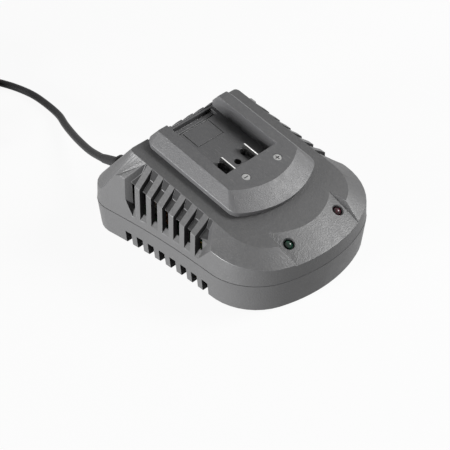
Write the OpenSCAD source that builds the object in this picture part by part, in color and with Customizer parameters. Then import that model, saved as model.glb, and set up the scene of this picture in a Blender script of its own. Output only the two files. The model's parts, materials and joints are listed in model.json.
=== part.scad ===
// Bench charger for a slide-on power tool battery pack.
// The case stands on its rubber feet on z = 0, its rounded front with the two
// lamps faces -Y, and the mains lead leaves the rear wall.

/* [Footprint] */
// Width of the foot across the front corners
foot_w = 121.2; // [116:0.2:130]
// Length of the foot from front to rear
foot_l = 155.8; // [150:0.2:170]
// Radius of the front arc
front_r = 103; // [92:1:120]
// Radius of the two front corners
corner_r = 36; // [30:1:40]
// Radius of the two rear corners
rear_r = 17; // [14:0.5:20]
// How far each long side is drawn in at its middle
waist = 2.1; // [0:0.1:3]
// Flare of the walls from the foot up to the parting line
flare = 2.4; // [1:0.1:3.5]
// Flare that is left at the top of the walls
top_flare = 1.6; // [0.6:0.1:2.4]

/* [Case] */
// Wall thickness of both housings
wall = 2.4; // [2:0.1:3]
// Floor thickness of the lower housing
floor_t = 2.4; // [2:0.1:3.2]
// Height of the rubber feet under the housing
foot_h = 0.6; // [0.4:0.1:1.2]
// Height of the parting line above the table
part_z = 21.8; // [20:0.2:24]
// Width of the seam between the two housings
seam = 0.2; // [0.1:0.05:0.4]
// Slope of the deck, the dock and the bay
tilt = 13.2; // [11:0.1:15]
// Height of the deck over the middle of the foot
deck_z = 55.3; // [54:0.2:60]
// Half width of the deck
deck_hw = 49.2; // [48:0.2:51]
// Distance from the middle to the rear edge of the deck
deck_rear = 49.4; // [48.9:0.1:51]
// Height of the top of the walls, over the middle of the foot
crease_z = 45.8; // [44:0.1:47]
// Rise of the top of the walls per millimetre towards the rear
crease_rise = 0.185; // [0.12:0.005:0.2]
// Height of the top of the rear wall
rear_crease_z = 33; // [30:0.5:36]

/* [Side fins] */
// Number of fins on each side
fin_n = 6; // [4:1:6]
// Distance from one fin to the next
fin_pitch = 9.9; // [9:0.1:10.4]
// Thickness of a fin, measured along the side
fin_t = 4.3; // [3.4:0.1:5]
// Front face of the rearmost fin
fin_y0 = 29.3; // [28.5:0.1:30]
// Angle of the fins in plan
fin_lean = 3; // [0:0.5:8]
// Depth of the pocket between the fins
fin_depth = 4; // [3:0.1:4.6]
// Height of the sill under the fins
sill_z = 27.4; // [25:0.2:29]

/* [Rear slots] */
// Number of slots in the rear slope
rear_n = 7; // [5:2:7]
// Distance from one rear slot to the next
rear_pitch = 10.1; // [9.5:0.1:10.5]
// Width of a rear slot
rear_slot = 5.6; // [4:0.2:6.4]

/* [Base vents] */
// Number of vents in each side of the lower housing
vent_n = 8; // [6:1:8]
// Distance from one base vent to the next
vent_pitch = 9.94; // [9:0.02:10.2]
// Width of a base vent
vent_w = 5.4; // [4:0.1:6]
// Height of the top of the base vents
vent_top = 10.4; // [8:0.2:12]
// Rear edge of the rearmost base vent
vent_y0 = 44.4; // [43:0.1:46]

/* [Dock] */
// Height of the dock above the deck
dock_h = 10.9; // [10:0.1:12]
// Height of the skirt under the bevel
skirt_h = 4.3; // [3:0.1:5]
// Half width of the flat top
dock_top_hw = 31.6; // [30.5:0.1:33]
// Half width of the bevel's lower edge
dock_hw = 38.4; // [37:0.1:40]
// Front of the flat top, measured along the slope
dock_top_front = -29.3; // [-31:0.1:-28]
// Front of the bevel's lower edge
dock_front = -43; // [-44.5:0.1:-42]
// Rear end of the bevel's lower edge
dock_rear = 48.9; // [48:0.1:49.5]
// Rear end of the rails
rail_rear = 45.2; // [44:0.1:46.5]
// How far the skirt is set back under the bevel
undercut = 1; // [0.4:0.1:1.6]

/* [Bay] */
// Half width of the bay between the rails
bay_hw = 23.3; // [22.5:0.1:24]
// Depth of the bay floor under the flat top
bay_depth = 11.1; // [10.4:0.1:12]
// Front wall of the bay, measured along the slope
bay_front = -8; // [-9:0.1:-7.5]
// Front edge of the latch trough
trough_front = 41.3; // [41.1:0.1:42]
// Half width of the latch trough
trough_hw = 20.5; // [18:0.1:21]
// Half width of the service cover in the bay floor
cover_hw = 11.4; // [9:0.1:13]
// Front edge of the service cover
cover_front = 26.4; // [24:0.1:28]
// Rear edge of the service cover
cover_rear = 40.5; // [38:0.1:40.5]
// Diameter of the hole between the terminals
bay_hole_d = 4.9; // [3:0.1:5.6]
// Distance of that hole behind the front wall of the bay
bay_hole_gap = 9.7; // [7:0.1:12]
// Gap all round between pieces that seat in one another
fit = 0.35; // [0.25:0.05:0.5]

/* [Terminals] */
// Distance of each blade from the middle
blade_x = 10.5; // [9.5:0.1:11.5]
// Thickness of a blade
blade_t = 1; // [0.8:0.1:1.4]
// Depth of the top of the blades under the flat top
blade_drop = 5.35; // [4.5:0.05:6]
// Front edge of a blade
blade_front = -6.4; // [-6.9:0.1:-5]
// Rear edge of a blade
blade_rear = 8; // [6:0.1:8.2]
// Half width of the slot round a blade
slot_hw = 3.6; // [3:0.1:3.9]
// Diameter of the polarity discs
disc_d = 5.5; // [4.5:0.1:6.5]
// Distance of each polarity disc from the middle
disc_x = 14.5; // [13.5:0.1:15.5]
// Distance of the polarity discs in front of the bay
disc_gap = 9.2; // [8:0.1:12]

/* [Lamps] */
// Distance of each lamp from the middle
lamp_x = 23.2; // [21:0.1:24.5]
// Distance of the lamps behind the front edge of the foot
lamp_in = 14.65; // [13:0.05:17]
// Diameter of a lamp hole
lamp_hole_d = 7; // [6:0.1:8]
// Diameter of the countersink round a lamp hole
lamp_sink_d = 8.4; // [7.6:0.1:9.4]
// Diameter of a lens
lens_d = 6.2; // [5:0.1:6.6]
// Slope of the lamp panel
panel_slope = 27.6; // [25:0.1:30]
// Half width of the lamp panel
panel_hw = 29.3; // [27:0.1:31]
// Height of the lamp panel at its outer corners
panel_z = 32.1; // [31:0.1:33]

/* [Electronics] */
// Length of the circuit board
pcb_l = 112; // [100:1:116]
// Width of the circuit board
pcb_w = 88; // [80:1:92]
// Height of the underside of the circuit board
pcb_z = 9; // [8:0.5:11]
// Diameter of the bulk capacitor
bulk_d = 18; // [14:0.5:20]
// Height of the bulk capacitor
bulk_h = 30; // [22:1:34]
// Width of the transformer core
core_w = 34; // [28:1:36]
// Height of the transformer core
core_h = 28; // [22:1:30]
// Length of the heat sink
sink_l = 36; // [28:1:40]
// Height of the heat sink
sink_h = 24; // [18:1:26]
// Diameter of the line choke
choke_d = 18.8; // [16:0.2:20]

/* [Fasteners and feet] */
// Diameter of the case screws
screw_d = 2.9; // [2.5:0.1:3.5]
// Diameter of a screw head
head_d = 6; // [5:0.1:6.6]
// Diameter of a rubber foot
pad_d = 12; // [9:0.5:14]

/* [Mains lead] */
// Diameter of the mains lead
cord_d = 5.5; // [5:0.1:6]
// Distance of the lead to the left of the middle
cord_x = -29; // [-32:0.5:-27]
// Height of the lead where it leaves the case
cord_z = 28.2; // [27:0.1:29]
// Width of the strain relief
relief_w = 13; // [10:0.5:14]
// Height of the strain relief
relief_h = 11; // [9:0.2:11.4]
// Length of the strain relief outside the wall
relief_l = 4; // [3:0.5:6]
// Length of the tapered boot on the strain relief
boot_l = 16; // [14:0.5:18]
// Outer diameter of the coiled lead
coil_od = 78; // [76:1:80]
// Width of the plug
plug_w = 35; // [33:0.5:37]
// Thickness of the plug
plug_t = 13.8; // [13.2:0.2:15]
// Length of the plug without its pins
plug_l = 40; // [38:0.5:44]
// Distance between the middles of the plug's pins
pin_gap = 18.6; // [17.5:0.1:19.5]
// Diameter of the plug's pins
pin_d = 4; // [3.8:0.1:4.8]
// Length of the plug's pins
pin_l = 19; // [16:0.5:20]

/* [Hidden] */
$fn = 48;
eps = 0.02;
big = 200;

// points on the quarter parts of an outline
nf = 7;
nc = 8;
ns = 18;
nr = 7;

foot_hw = foot_w / 2;
foot_front = -foot_l / 2;
foot_rear = foot_l / 2;
front_cy = foot_front + front_r;
rise = tan(tilt);
drop_y0 = 45.5;
drop_y1 = 68;
pcb_t = 1.6;
pcb_top = pcb_z + pcb_t;
floor_top = foot_h + floor_t;
bay_w = dock_h - bay_depth;
disc_v = bay_front - disc_gap;
hole_v = bay_front + bay_hole_gap;
tub_hw = bay_hw + 2.3;
tub_front = bay_front - 2.4;
tub_rear = dock_rear;
tub_w = bay_w - 5.4;
cover_t = 1.2;
crease_hw = foot_hw + top_flare - waist * 0.7;
fin_ledge = 3;
fin_hole = 18;
fin_out = 9;
fin_slit = 2.3;
panel_r = norm([panel_hw, front_cy - (foot_front + 4.2)]);
lamp_y = foot_front + lamp_in;
lamp_az = atan2(lamp_x, front_cy - lamp_y);
lamp_r = norm([lamp_x, front_cy - lamp_y]);
lamp_sink = (lamp_sink_d - lamp_hole_d) / 2;
lamp_z = panel_z + tan(panel_slope) * (panel_r - lamp_r);
boss_xy = [[-47, -38], [47, -38], [-43, 62], [43, 62]];
pad_xy = [[-38, -50], [38, -50], [-47, 50], [47, 50]];
boss_d = 8;

// places on the circuit board
core_at = [-0.16 * pcb_w, 0.232 * pcb_l];
bulk_at = [0.227 * pcb_w, 0.268 * pcb_l];
output_at = [0.16 * pcb_w, -0.304 * pcb_l];
sink_at = [-0.455 * pcb_w, -0.232 * pcb_l];
choke_at = [-0.409 * pcb_w, 0.268 * pcb_l];
bridge_at = [0.023 * pcb_w, 0.393 * pcb_l];
fuse_at = [0.409 * pcb_w, 0.125 * pcb_l];
film_at = [0.364 * pcb_w, -0.268 * pcb_l];
conn_at = [cord_x, 0.41 * pcb_l];

// ---- outlines and shells ----

function clamp01(t) = min(1, max(0, t));
function smooth(t) = t * t * (3 - 2 * t);

// right half of an outline, from the front centre round to the rear
function half_outline(hw, yf, yr, rf, rc, rr, ws) =
    let (
        fy = yf + rf,
        cx = hw - rc,
        cy = fy - sqrt((rf - rc) * (rf - rc) - cx * cx),
        a = atan2(cy - fy, cx),
        ys = yr - rr
    )
    concat(
        [for (i = [0:nf - 1]) let (t = -90 + (a + 90) * i / nf) [rf * cos(t), fy + rf * sin(t)]],
        [for (i = [0:nc]) let (t = a - a * i / nc) [cx + rc * cos(t), cy + rc * sin(t)]],
        [for (i = [1:ns]) let (t = 1 - pow(1 - i / ns, 1.5)) [hw - ws * sin(180 * t), cy + (ys - cy) * t]],
        [for (i = [1:nr]) let (t = 90 * i / nr) [hw - rr + rr * cos(t), ys + rr * sin(t)]]
    );

function whole(h) = concat(h, [for (i = [len(h) - 1:-1:1]) [-h[i][0], h[i][1]]]);

// the foot's outline, moved outwards by d
function foot_outline(d) = whole(half_outline(
    foot_hw + d, foot_front - d, foot_rear + d, front_r + d, corner_r + d, rear_r + d, waist));

// the deck's outline, moved outwards by d
function deck_outline(d) = whole(half_outline(
    deck_hw + d, foot_front + 10 - d, deck_rear + d, front_r - 10 + d, corner_r - 10 + d, max(0.6, 3 + d), 0));

function crease_at(p, dz) =
    let (s = smooth(clamp01((p[1] - drop_y0) / (drop_y1 - drop_y0))))
    (crease_z + crease_rise * p[1]) * (1 - s) + rear_crease_z * s + dz;

function level(ring, z) = [for (p = ring) [p[0], p[1], z]];
function on_crease(ring, dz) = [for (p = ring) [p[0], p[1], crease_at(p, dz)]];
function on_slope(ring, dz) = [for (p = ring) [p[0], p[1], deck_z + rise * p[1] + dz]];

module shell(rings) {
    n = len(rings[0]);
    m = len(rings);
    pts = [for (r = rings) each r];
    sides = [for (k = [0:m - 2]) for (i = [0:n - 1])
        let (a = k * n + i, b = k * n + (i + 1) % n)
        each [[a, a + n, b + n], [a, b + n, b]]];
    polyhedron(
        points = pts,
        faces = concat([[for (i = [0:n - 1]) i]], sides, [[for (i = [n - 1:-1:0]) (m - 1) * n + i]]),
        convexity = 6
    );
}

// the sloping frame of the deck: z = 0 is the deck itself
module on_deck() {
    translate([0, 0, deck_z])
        rotate([tilt, 0, 0])
            children();
}

module both_sides() {
    children();
    mirror([1, 0, 0])
        children();
}

// ---- upper housing ----

module upper_outer() {
    shell([
        level(foot_outline(flare - seam), part_z + seam / 2),
        on_crease(foot_outline(top_flare), 0),
        on_slope(deck_outline(0), 0)
    ]);
}

module upper_inner() {
    shell([
        level(foot_outline(flare - seam - wall), part_z - 1),
        on_crease(foot_outline(top_flare - wall), -1.6),
        on_slope(deck_outline(-1.4), -wall / cos(tilt))
    ]);
}

// solid stock behind the fins of the left side
module fin_stock() {
    run = crease_hw - deck_hw;
    fall = (deck_z - crease_z) * cos(tilt);
    len_b = norm([run, fall]);
    depth = fin_depth + 2.2;
    nx = fall / len_b * depth;
    nz = run / len_b * depth;
    intersection() {
        on_deck()
            translate([0, 52, 0])
                rotate([90, 0, 0])
                    linear_extrude(height = 96)
                        polygon([
                            [-deck_hw + nx, 4],
                            [-deck_hw + nx, -nz],
                            [-crease_hw + nx, -fall - nz],
                            [-crease_hw + nx, -60],
                            [-big, -60],
                            [-big, 4]
                        ]);
        translate([-big, fin_y0 - (fin_n - 1) * fin_pitch - 16, sill_z - 1.6])
            cube([big, (fin_n - 1) * fin_pitch + 16 + fin_t + 11, big]);
    }
}

// ring of points round one side of a pocket, whose face meets the top of the wall at y:
// u runs inwards from the top of the wall, and the window in the wall is as deep as hole
function fin_ring(y, hole) =
    let (
        run = crease_hw - deck_hw,
        zc = crease_z + crease_rise * y,
        zt = deck_z + rise * (y - run * tan(fin_lean)),
        d = [run, zt - zc] / norm([run, zt - zc]),
        slope = d[1] / d[0],
        low_z = zc - d[0] * fin_depth + (fin_ledge - d[1] * fin_depth) * slope,
        top_u = run - 2.2,
        top_z = low_z + (top_u - fin_ledge) * slope,
        sill = sill_z + fin_ledge
    )
    [for (p = [
        [run + 0.1, zt + 1], [run + 0.1, zt - 0.6], [top_u, top_z], [fin_ledge, low_z],
        [hole, low_z], [hole, sill], [fin_ledge, sill], [-fin_out, sill_z - fin_out], [-fin_out, zt + 1]
    ]) [p[0] - crease_hw, y - p[0] * tan(fin_lean), p[1]]];

// pocket of that width in front of the face at y
module fin_slot(y, width, hole) {
    shell([fin_ring(y - width, hole), fin_ring(y, hole)]);
}

// parallelepiped from a corner o and three edges, which turn right-handed
module block(o, a, b, c) {
    polyhedron(
        points = [for (k = [0, 1]) each [o + k * c, o + a + k * c, o + a + b + k * c, o + b + k * c]],
        faces = [[0, 1, 2, 3], [7, 6, 5, 4], [4, 5, 1, 0], [5, 6, 2, 1], [6, 7, 3, 2], [7, 4, 0, 3]]
    );
}

// the pockets on the left side, with the slanted ends
module fin_cuts() {
    last = fin_y0 - (fin_n - 1) * fin_pitch;
    end_low = [-crease_hw, last - 12.7, crease_z + crease_rise * (last - 12.7)];
    end_top = [-deck_hw, last - 4.4, deck_z + rise * (last - 4.4)];
    along = end_top - end_low;
    down = [along[2], 0, -along[0]] / norm([along[0], along[2]]) * fin_depth + [0, 1.4 * fin_depth, 0];
    for (k = [0:fin_n - 2])
        fin_slot(fin_y0 - k * fin_pitch, fin_pitch - fin_t, fin_hole);
    // slit beside the foremost fin
    fin_slot(last, fin_slit, fin_hole);
    // front pocket, closed by a slanted end and a rising sill
    intersection() {
        fin_slot(last, 18, fin_ledge + 0.4);
        block(end_low - along - 3 * down, 3 * along, 8 * down, [0, 60, 0]);
        block([-crease_hw, last + 7.3, sill_z - 12] - [8, 0, 8.4], [0, -34, 40], [20, 0, 21], [0, 0, 60]);
    }
    // rear pocket
    intersection() {
        fin_slot(fin_y0 + fin_t + 13, 13, fin_hole);
        linear_extrude(height = big)
            polygon([
                [-crease_hw - 8, fin_y0 + fin_t + 8 * tan(fin_lean)],
                [-deck_hw + 0.5, fin_y0 + fin_t - (crease_hw - deck_hw) * tan(fin_lean)],
                [-deck_hw + 0.5, fin_y0 + 5.1],
                [-crease_hw - 1, fin_y0 + 13.2],
                [-crease_hw - 8, fin_y0 + 19.2]
            ]);
        translate([-crease_hw - 8, 0, 0])
            rotate([90, 0, 90])
                linear_extrude(height = 30)
                    polygon([
                        [fin_y0 - 5, sill_z - 12],
                        [fin_y0 + 6.4, sill_z - 12],
                        [fin_y0 + 6.4, sill_z - 1],
                        [fin_y0 + 13.6, sill_z + 11.6],
                        [fin_y0 + 13.6, 90],
                        [fin_y0 - 5, 90]
                    ]);
    }
}

// slots down the rear slope
module rear_cuts() {
    zt = deck_z + rise * deck_rear;
    run = foot_rear + top_flare - deck_rear;
    fall = zt - rear_crease_z;
    for (k = [0:rear_n - 1])
        translate([(k - (rear_n - 1) / 2) * rear_pitch - rear_slot / 2, 0, 0])
            rotate([90, 0, 90])
                linear_extrude(height = rear_slot)
                    polygon([
                        [deck_rear - 0.9, zt + 2],
                        [deck_rear - 0.9, zt - 1.3],
                        [deck_rear + 0.16 * run, zt - 0.16 * fall - 5.2],
                        [deck_rear + 0.16 * run - 8, zt - 0.16 * fall - 13],
                        [deck_rear + 0.78 * run - 8, zt - 0.78 * fall - 6],
                        [deck_rear + 0.78 * run + 12, zt - 0.78 * fall],
                        [deck_rear + 0.78 * run + 12, zt + 2]
                    ]);
}

// the room over the lamp panel, made wider on each side and sunk
module panel_room(wider, sunk) {
    difference() {
        translate([0, foot_front + 4.2, panel_z - sunk])
            rotate([panel_slope, 0, 0])
                translate([0, 60, 0])
                    rotate([90, 0, 0])
                        linear_extrude(height = 90)
                            polygon([
                                [-panel_hw + 3 - wider, -3],
                                [panel_hw - 3 + wider, -3],
                                [panel_hw + 12 + wider, 12],
                                [-panel_hw - 12 - wider, 12]
                            ]);
        translate([0, front_cy, panel_z - sunk - 20 * tan(panel_slope)])
            cylinder(
                h = (panel_r + 20) * tan(panel_slope),
                r1 = panel_r + 20,
                r2 = 0,
                $fn = 120
            );
    }
}

// the frame of one lamp: z points out of the panel
module at_lamp(side) {
    translate([side * lamp_x, lamp_y, lamp_z])
        rotate([0, 0, side * lamp_az])
            rotate([panel_slope, 0, 0])
                children();
}

module lamp_cut(side) {
    at_lamp(side) {
        translate([0, 0, -12])
            cylinder(h = 12.2, d = lamp_hole_d);
        translate([0, 0, -lamp_sink])
            cylinder(h = lamp_sink + 0.2, d1 = lamp_hole_d, d2 = lamp_sink_d + 0.4);
    }
}

module dock_opening() {
    on_deck()
        translate([-tub_hw - fit, tub_front - fit, -14])
            cube([2 * (tub_hw + fit), tub_rear - tub_front + 2 * fit, 20]);
}

module upper_housing() {
    color("dimgray")
        difference() {
            upper_outer();
            difference() {
                upper_inner();
                // the wall under the lamp panel
                panel_room(wall, wall);
                both_sides()
                    fin_stock();
                for (p = boss_xy)
                    translate([p[0], p[1], part_z - 2])
                        cylinder(h = 60, d = boss_d, $fn = 32);
            }
            both_sides()
                fin_cuts();
            rear_cuts();
            panel_room(0, 0);
            dock_opening();
            relief_cut();
            for (p = boss_xy)
                translate([p[0], p[1], part_z - 1])
                    cylinder(h = 13, d = screw_d + 0.2, $fn = 24);
            for (s = [-1, 1])
                lamp_cut(s);
        }
}

// ---- lower housing ----

module vents() {
    for (k = [0:vent_n - 1])
        translate([-foot_hw - 8, vent_y0 - vent_w - k * vent_pitch, foot_h - 1])
            cube([8 + waist + wall + 1.4, vent_w, vent_top - foot_h + 1]);
}

module lower_housing() {
    color("gray")
        difference() {
            union() {
                difference() {
                    shell([
                        level(foot_outline(-0.3), foot_h),
                        level(foot_outline(0.35), foot_h + 0.7),
                        level(foot_outline(flare), part_z - seam / 2)
                    ]);
                    shell([
                        level(foot_outline(-wall), floor_top),
                        level(foot_outline(flare - wall), part_z + 1)
                    ]);
                }
                // locating lip inside the upper housing
                difference() {
                    shell([
                        level(foot_outline(flare - wall + 0.3), part_z - 3),
                        level(foot_outline(flare - seam - wall - fit), part_z + 1.6)
                    ]);
                    shell([
                        level(foot_outline(flare - wall - 1.2), part_z - 4),
                        level(foot_outline(flare - seam - wall - 1.5), part_z + 2)
                    ]);
                }
                for (p = boss_xy)
                    translate([p[0], p[1], floor_top - eps])
                        cylinder(h = part_z - seam - floor_top, d = boss_d, $fn = 32);
                // board posts
                for (x = [-1, 1], y = [-1, 1])
                    translate([x * (pcb_w / 2 - 5), y * (pcb_l / 2 - 5), floor_top - eps])
                        cylinder(h = pcb_z - floor_top + eps, d = 7, $fn = 32);
            }
            both_sides()
                vents();
            for (p = boss_xy)
                translate([p[0], p[1], 0]) {
                    cylinder(h = part_z + 4, d = screw_d + 0.4, $fn = 24);
                    cylinder(h = floor_top + 1.2, d = head_d + 2 * fit, $fn = 32);
                }
            for (p = pad_xy)
                translate([p[0], p[1], -1])
                    cylinder(h = foot_h + 2.2, d = pad_d + 2 * fit);
            relief_cut();
        }
}

// ---- dock ----

function dock_ring(hw, yf, rf, rc, yr, rr, w) = level(whole(half_outline(hw, yf, yr, rf, rc, rr, 0)), w);

module dock_body() {
    shell([
        dock_ring(dock_hw - undercut, dock_front + undercut, 65.5 - undercut, 9 - undercut, dock_rear - undercut, 7 - undercut, 0),
        dock_ring(dock_hw, dock_front, 65.5, 9, dock_rear, 7, skirt_h),
        dock_ring(dock_top_hw, dock_top_front, 53.5, 3.4, rail_rear, 1.2, dock_h)
    ]);
}

module terminal_slot(side) {
    translate([side * blade_x, 0, -12])
        linear_extrude(height = 12)
            polygon([
                [-slot_hw, bay_front + 0.6], [slot_hw, bay_front + 0.6], [slot_hw, blade_rear - 2],
                [blade_t, blade_rear + fit], [-blade_t, blade_rear + fit], [-slot_hw, blade_rear - 2]
            ]);
}

module dock() {
    color([0.36, 0.36, 0.37])
        on_deck()
            difference() {
                union() {
                    dock_body();
                    translate([-tub_hw, tub_front, tub_w])
                        cube([2 * tub_hw, tub_rear - tub_front, -tub_w + eps]);
                }
                // bay, open to the rear
                translate([-bay_hw, bay_front, bay_w])
                    cube([2 * bay_hw, tub_rear - 1.5 - bay_front, 20]);
                translate([-bay_hw, bay_front, 0])
                    cube([2 * bay_hw, big, 20]);
                // latch trough in three steps
                translate([-trough_hw, trough_front, tub_w + 1.4])
                    cube([2 * trough_hw, 1.9, 10]);
                translate([-trough_hw, trough_front, tub_w + 3.4])
                    cube([2 * trough_hw, tub_rear - 1.5 - trough_front, 10]);
                translate([-trough_hw, tub_rear - 2.9, tub_w + 1.4])
                    cube([2 * trough_hw, 1.4, 10]);
                // seat of the service cover
                translate([-cover_hw - fit, cover_front - fit, bay_w - cover_t])
                    cube([2 * (cover_hw + fit), cover_rear - cover_front + 2 * fit, 5]);
                for (s = [-1, 1]) {
                    terminal_slot(s);
                    translate([s * disc_x, disc_v, dock_h - 0.8])
                        cylinder(h = 2, d = disc_d + 0.4);
                }
                translate([0, hole_v, tub_w - 1])
                    cylinder(h = 20, d = bay_hole_d);
                // hollow under the front of the dock
                translate([-tub_hw, tub_front - 20, -1])
                    cube([2 * tub_hw, 18, 7.6]);
            }
}

module service_cover() {
    color([0.40, 0.40, 0.41])
        on_deck()
            translate([-cover_hw, cover_front, bay_w - cover_t])
                cube([2 * cover_hw, cover_rear - cover_front, cover_t]);
}

// ---- terminals ----

module blade(side) {
    w_top = dock_h - blade_drop;
    on_deck()
        translate([side * blade_x + blade_t / 2, 0, 0])
            rotate([0, -90, 0])
                linear_extrude(height = blade_t)
                    polygon([
                        [w_top, blade_front],
                        [w_top, blade_rear - 0.8],
                        [w_top - 0.8, blade_rear],
                        [tub_w - 3, blade_rear],
                        [tub_w - 3, blade_rear - 4],
                        [tub_w - 12, blade_rear - 4],
                        [tub_w - 12, blade_front + 5],
                        [tub_w - 3, blade_front + 5],
                        [tub_w - 3, blade_front]
                    ]);
}

module blade_positive() {
    color("silver")
        blade(1);
}

module blade_negative() {
    color("silver")
        blade(-1);
}

module terminal_block() {
    color([0.12, 0.12, 0.13])
        on_deck()
            difference() {
                union() {
                    translate([-18, bay_front - 0.4, tub_w - 6])
                        cube([36, blade_rear - bay_front + 3.4, 6]);
                    for (s = [-1, 1])
                        translate([s * blade_x - slot_hw + fit, bay_front + 0.6 + fit, tub_w - eps])
                            cube([2 * (slot_hw - fit), blade_rear - 3.2 - bay_front, 1.2]);
                }
                for (s = [-1, 1])
                    translate([s * blade_x - blade_t / 2 - 0.1, blade_front - 0.1, tub_w - 20])
                        cube([blade_t + 0.2, blade_rear - blade_front + 0.2, 30]);
                translate([0, hole_v, tub_w - 10])
                    cylinder(h = 20, d = bay_hole_d + 1);
            }
}

module disc(side) {
    on_deck()
        translate([side * disc_x, disc_v, dock_h - 0.8])
            difference() {
                cylinder(h = 0.5, d = disc_d);
                translate([-1.7, -0.35, 0.3])
                    cube([3.4, 0.7, 1]);
                if (side > 0)
                    translate([-0.35, -1.7, 0.3])
                        cube([0.7, 3.4, 1]);
            }
}

module disc_positive() {
    color("darkgray")
        disc(1);
}

module disc_negative() {
    color("darkgray")
        disc(-1);
}

// ---- lamps ----

module lens(side) {
    at_lamp(side) {
        translate([0, 0, -11])
            cylinder(h = 9, d = lens_d);
        translate([0, 0, -12.2])
            cylinder(h = 1.2, d = lens_d + 1);
        intersection() {
            translate([0, 0, -2.6])
                sphere(d = lens_d);
            translate([0, 0, -2.2])
                cylinder(h = 6, d = lens_d);
        }
    }
}

module lamp_green() {
    color([0.02, 0.22, 0.10])
        lens(-1);
}

module lamp_red() {
    color([0.30, 0.03, 0.06])
        lens(1);
}

module lamp_sleeve(side) {
    at_lamp(side)
        translate([0, 0, -11])
            difference() {
                cylinder(h = 6.6, d = lens_d + 3.4);
                translate([0, 0, -1])
                    cylinder(h = 9, d = lens_d + 0.3);
            }
}

module lamp_sleeve_green() {
    color("black")
        lamp_sleeve(-1);
}

module lamp_sleeve_red() {
    color("black")
        lamp_sleeve(1);
}

// ---- electronics ----

module circuit_board() {
    color([0.10, 0.32, 0.16])
        difference() {
            translate([-pcb_w / 2, -pcb_l / 2, pcb_z])
                cube([pcb_w, pcb_l, pcb_t]);
            for (p = boss_xy)
                translate([p[0], p[1], 0])
                    cylinder(h = 40, d = boss_d + 1.4);
            for (x = [-1, 1], y = [-1, 1])
                translate([x * (pcb_w / 2 - 5), y * (pcb_l / 2 - 5), 0])
                    cylinder(h = 40, d = 3.2, $fn = 24);
        }
}

module transformer_core() {
    color([0.20, 0.19, 0.19])
        translate([core_at[0], core_at[1], pcb_top])
            difference() {
                translate([-core_w / 2, -7, 0])
                    cube([core_w, 14, core_h]);
                for (s = [-1, 1])
                    translate([s * (core_w / 4 + 0.6) - core_w / 12 - 0.6, -8, 4.2])
                        cube([core_w / 6 + 1.2, 16, core_h - 8.4]);
            }
}

module transformer_coil() {
    w = core_w / 2 - 1.3;
    color([0.72, 0.60, 0.22])
        translate([core_at[0], core_at[1], pcb_top + 4.5])
            difference() {
                union() {
                    linear_extrude(height = core_h - 9)
                        hull()
                            for (x = [-1, 1], y = [-1, 1])
                                translate([x * (w / 2 + 2.2 - 2), y * 8.6])
                                    circle(d = 4, $fn = 24);
                }
                translate([-w / 2 + 0.6, -7.2, -1])
                    cube([w - 1.2, 14.4, core_h]);
            }
}

module can(d, h) {
    rotate_extrude()
        polygon([
            [0, 0],
            [d / 2 - 0.6, 0],
            [d / 2, 0.6],
            [d / 2, 1.8],
            [d / 2 - 0.5, 2.4],
            [d / 2, 3],
            [d / 2, h - 0.8],
            [d / 2 - 0.8, h],
            [d / 2 - 1.8, h],
            [d / 2 - 2, h - 0.4],
            [0, h - 0.4]
        ]);
}

module bulk_capacitor() {
    color([0.10, 0.12, 0.20])
        translate([bulk_at[0], bulk_at[1], pcb_top])
            can(bulk_d, bulk_h);
}

module output_capacitor() {
    color([0.10, 0.20, 0.16])
        translate([output_at[0], output_at[1], pcb_top])
            can(bulk_d * 0.56, bulk_h * 0.6);
}

module heat_sink() {
    color("silver")
        translate([sink_at[0], sink_at[1] - sink_l / 2, pcb_top]) {
            cube([3, sink_l, sink_h]);
            for (k = [0:6])
                translate([3 - eps, k * (sink_l - 1.8) / 6, 0])
                    cube([8, 1.8, sink_h]);
        }
}

module power_transistor() {
    color([0.13, 0.13, 0.14])
        translate([sink_at[0], sink_at[1], pcb_top]) {
            translate([-4.5, -5, 4])
                cube([4.5, 10, 9.4]);
            translate([-1.3, -5, 4])
                cube([1.3, 10, 15.6]);
            for (k = [-1:1])
                translate([-2.4, k * 2.54 - 0.4, 0])
                    cube([0.6, 0.8, 4]);
        }
}

module line_choke() {
    color([0.62, 0.36, 0.12])
        translate([choke_at[0], choke_at[1], pcb_top + choke_d / 2 + 0.1])
            rotate([0, 90, 0])
                rotate_extrude()
                    translate([choke_d * 0.33, 0])
                        circle(d = choke_d * 0.34, $fn = 24);
}

module rectifier() {
    color([0.14, 0.14, 0.15])
        translate([bridge_at[0], bridge_at[1], pcb_top]) {
            translate([-7.5, -1.8, 2.4])
                cube([15, 3.6, 11]);
            for (k = [0:3])
                translate([-6.2 + k * 3.8, -0.5, 0])
                    cube([1, 1, 2.4]);
        }
}

module fuse() {
    color([0.86, 0.84, 0.78])
        translate([fuse_at[0], fuse_at[1], pcb_top + 3.4]) {
            rotate([90, 0, 0])
                cylinder(h = 20, d = 5, center = true);
            for (s = [-1, 1])
                translate([-1.6, s * 7.6 - 1, -3.4])
                    cube([3.2, 2, 3.4]);
        }
}

module line_capacitor() {
    color([0.85, 0.68, 0.12])
        translate([film_at[0], film_at[1], pcb_top + 0.4])
            difference() {
                translate([-4, -9, -0.4])
                    cube([8, 18, 14.4]);
                translate([-5, -7.6, -1.4])
                    cube([10, 15.2, 1.6]);
            }
}

module mains_connector() {
    color([0.90, 0.88, 0.82])
        translate([conn_at[0] - 6, conn_at[1] - 4, pcb_top])
            difference() {
                cube([12, 8, 9]);
                for (s = [-1, 1])
                    translate([6 + s * 2.6, 4, 4])
                        cylinder(h = 9, d = 2.6, $fn = 24);
            }
}

// the two wires from the board up to the terminal blades
function tail_y() = blade_tail()[1];
function blade_tail() = let (v = (blade_front + blade_rear + 1) / 2, w = tub_w - 12)
    [0, v * cos(tilt) - w * sin(tilt), deck_z + v * sin(tilt) + w * cos(tilt)];

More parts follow.
